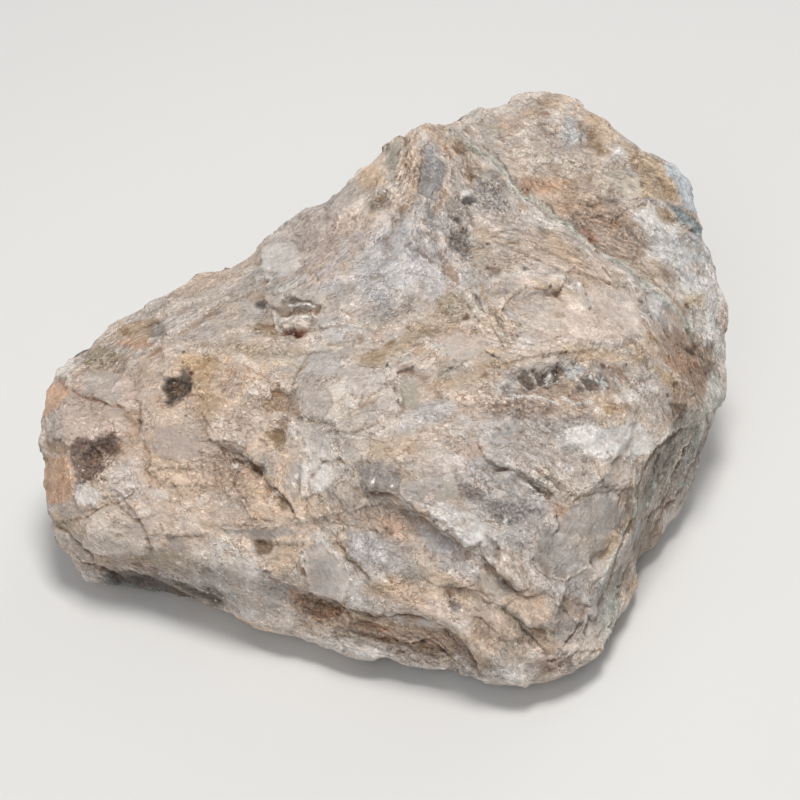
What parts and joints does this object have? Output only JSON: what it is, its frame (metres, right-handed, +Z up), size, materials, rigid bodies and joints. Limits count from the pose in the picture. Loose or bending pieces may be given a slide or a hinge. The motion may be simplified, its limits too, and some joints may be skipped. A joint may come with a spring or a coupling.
{
  "type": "raw citrine quartz lump",
  "caption": "Rough broken lump of citrine-bearing vein quartz: cream-white, stained ochre and grey, with slanting ledges, pits and a stepped rear block, resting on a flat underside.",
  "frame": {"origin": "middle of the footprint's bounding box, on the surface that the stone rests on", "axes": "+Z up; +X along the stone's longest extent, from the low knob towards the tall rear block; +Y away from the broad front face"},
  "size_m": [0.1902, 0.1616, 0.0947],
  "materials": {
    "quartz": "rough broken quartz, cream-white to grey with ochre and rust staining, matt with small bright grains"
  },
  "bodies": {
    "root": {"citrine_stone": "quartz"}
  },
  "joints": []
}
